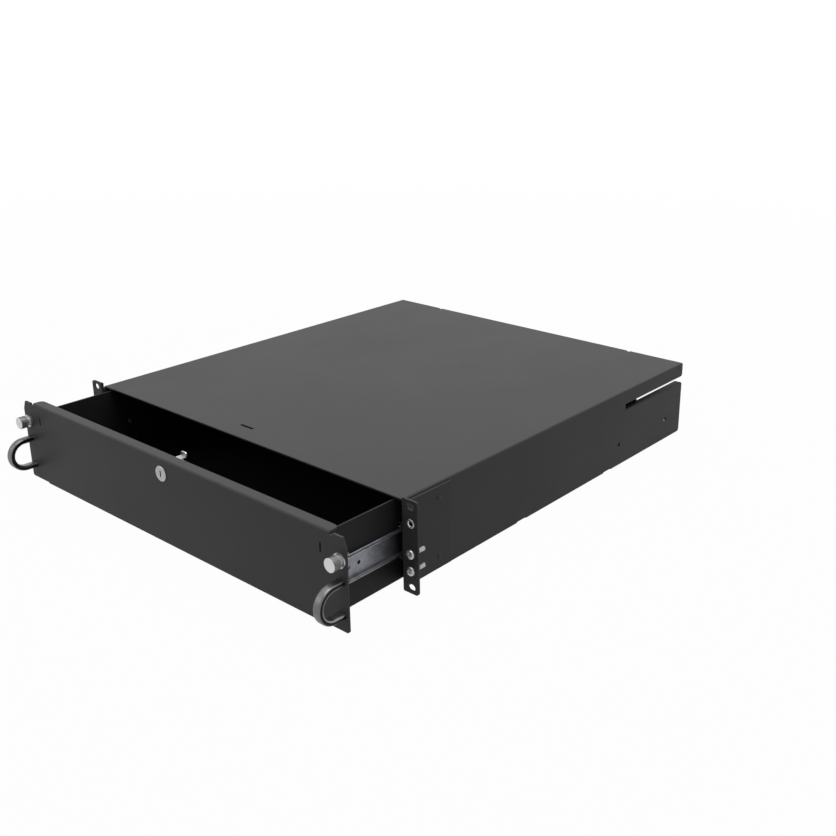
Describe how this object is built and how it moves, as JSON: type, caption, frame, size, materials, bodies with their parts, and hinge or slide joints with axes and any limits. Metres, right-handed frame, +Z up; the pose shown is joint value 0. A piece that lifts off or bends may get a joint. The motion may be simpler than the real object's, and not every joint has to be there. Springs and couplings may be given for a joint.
{
  "type": "sliding rack drawer",
  "caption": "Lockable two-unit rack drawer in a folded sleeve with rack ears, on ball-bearing slides, with pull handles and captive thumbscrews.",
  "frame": {"origin": "centre of the four slots of the front ears, in the plane where the ears meet the rack's posts", "axes": "+X across the rack to the right as seen from the front, +Y back into the rack, +Z up; the drawer pulls out along -Y"},
  "size_m": [0.4812, 0.5852, 0.0882],
  "materials": {
    "sleeve_black": "textured black powder coat",
    "drawer_black": "textured black powder coat",
    "ear_black": "textured black powder coat",
    "slide_zinc": "zinc plated, mottled",
    "cage_steel": "zinc plated",
    "ball_steel": "polished hardened steel",
    "rivet_black": "painted with the sheet",
    "rivet_steel": "zinc plated",
    "screw_black": "black zinc, satin",
    "screw_nickel": "nickel plated",
    "insert_steel": "bright zinc plated",
    "handle_chrome": "bright chrome plate",
    "knob_aluminium": "satin, knurled",
    "lock_chrome": "satin chrome plate",
    "lock_zinc": "zinc plated",
    "spring_steel": "drawn steel wire"
  },
  "bodies": {
    "housing": {"housing_shell": "sleeve_black", "floor_brace_front": "sleeve_black", "floor_brace_rear": "sleeve_black", "ear_bracket_left": "ear_black", "ear_bracket_right": "ear_black", "ear_rivets": "rivet_black", "threaded_inserts": "insert_steel", "rack_screws": "screw_nickel", "slide_cabinet_member_left": "slide_zinc", "slide_cabinet_member_right": "slide_zinc", "cabinet_member_rivets": "rivet_black"},
    "drawer": {"faceplate": "drawer_black", "drawer_tray": "drawer_black", "drawer_back_panel": "drawer_black", "back_panel_rivets": "rivet_black", "slide_drawer_member_left": "slide_zinc", "slide_drawer_member_right": "slide_zinc", "drawer_member_rivets": "rivet_steel", "handle_left": "handle_chrome", "handle_right": "handle_chrome", "handle_screws": "screw_black", "lock_barrel": "lock_chrome", "lock_nut": "lock_zinc", "thumbscrew_ferrule_left": "screw_nickel", "thumbscrew_ferrule_right": "screw_nickel"},
    "lock": {"lock_plug": "lock_chrome", "lock_cam": "lock_zinc", "lock_cam_screw": "lock_zinc"},
    "middle_left": {"slide_middle_member_left": "slide_zinc"},
    "outer_cage_left": {"outer_ball_cage_left": "cage_steel", "outer_balls_left": "ball_steel"},
    "inner_cage_left": {"inner_ball_cage_left": "cage_steel", "inner_balls_left": "ball_steel"},
    "thumb_press_left": {"thumbscrew_clip_left": "spring_steel", "thumbscrew_spring_left": "spring_steel"},
    "thumb_knob_left": {"thumbscrew_knob_left": "knob_aluminium", "thumbscrew_shaft_left": "screw_nickel"},
    "middle_right": {"slide_middle_member_right": "slide_zinc"},
    "outer_cage_right": {"outer_ball_cage_right": "cage_steel", "outer_balls_right": "ball_steel"},
    "inner_cage_right": {"inner_ball_cage_right": "cage_steel", "inner_balls_right": "ball_steel"},
    "thumb_press_right": {"thumbscrew_clip_right": "spring_steel", "thumbscrew_spring_right": "spring_steel"},
    "thumb_knob_right": {"thumbscrew_knob_right": "knob_aluminium", "thumbscrew_shaft_right": "screw_nickel"}
  },
  "joints": [
    {"name": "drawer_slide", "type": "slide", "parent": "housing", "child": "drawer", "axis": [0, -1, 0], "range_m": [-0.0745, 0.3755]},
    {"name": "lock_turn", "type": "hinge", "parent": "drawer", "child": "lock", "pos_m": [0, -0.083, 0.02905], "axis": [0, 1, 0], "range_deg": [-65, 25]},
    {"name": "middle_slide_left", "type": "slide", "parent": "housing", "child": "middle_left", "axis": [0, -1, 0], "range_m": [-0.03725, 0.18775]},
    {"name": "outer_cage_slide_left", "type": "slide", "parent": "housing", "child": "outer_cage_left", "axis": [0, -1, 0], "range_m": [-0.01862, 0.09388]},
    {"name": "inner_cage_slide_left", "type": "slide", "parent": "middle_left", "child": "inner_cage_left", "axis": [0, -1, 0], "range_m": [-0.01862, 0.09388]},
    {"name": "thumb_press_left", "type": "slide", "parent": "drawer", "child": "thumb_press_left", "axis": [0, 1, 0], "range_m": [0, 0.0022], "stiffness_N_per_m": 500, "springref_m": -0.003, "deforming": ["thumbscrew_spring_left"]},
    {"name": "thumb_turn_left", "type": "hinge", "parent": "thumb_press_left", "child": "thumb_knob_left", "pos_m": [-0.23255, -0.089, 0.02223], "axis": [0, 1, 0], "continuous": true},
    {"name": "middle_slide_right", "type": "slide", "parent": "housing", "child": "middle_right", "axis": [0, -1, 0], "range_m": [-0.03725, 0.18775]},
    {"name": "outer_cage_slide_right", "type": "slide", "parent": "housing", "child": "outer_cage_right", "axis": [0, -1, 0], "range_m": [-0.01862, 0.09388]},
    {"name": "inner_cage_slide_right", "type": "slide", "parent": "middle_right", "child": "inner_cage_right", "axis": [0, -1, 0], "range_m": [-0.01862, 0.09388]},
    {"name": "thumb_press_right", "type": "slide", "parent": "drawer", "child": "thumb_press_right", "axis": [0, 1, 0], "range_m": [0, 0.0022], "stiffness_N_per_m": 500, "springref_m": -0.003, "deforming": ["thumbscrew_spring_right"]},
    {"name": "thumb_turn_right", "type": "hinge", "parent": "thumb_press_right", "child": "thumb_knob_right", "pos_m": [0.23255, -0.089, 0.02223], "axis": [0, 1, 0], "continuous": true}
  ],
  "couplings": [
    {"joint": "middle_slide_left", "follows": "drawer_slide", "ratio": 0.5},
    {"joint": "outer_cage_slide_left", "follows": "drawer_slide", "ratio": 0.25},
    {"joint": "inner_cage_slide_left", "follows": "drawer_slide", "ratio": 0.25},
    {"joint": "middle_slide_right", "follows": "drawer_slide", "ratio": 0.5},
    {"joint": "outer_cage_slide_right", "follows": "drawer_slide", "ratio": 0.25},
    {"joint": "inner_cage_slide_right", "follows": "drawer_slide", "ratio": 0.25}
  ]
}
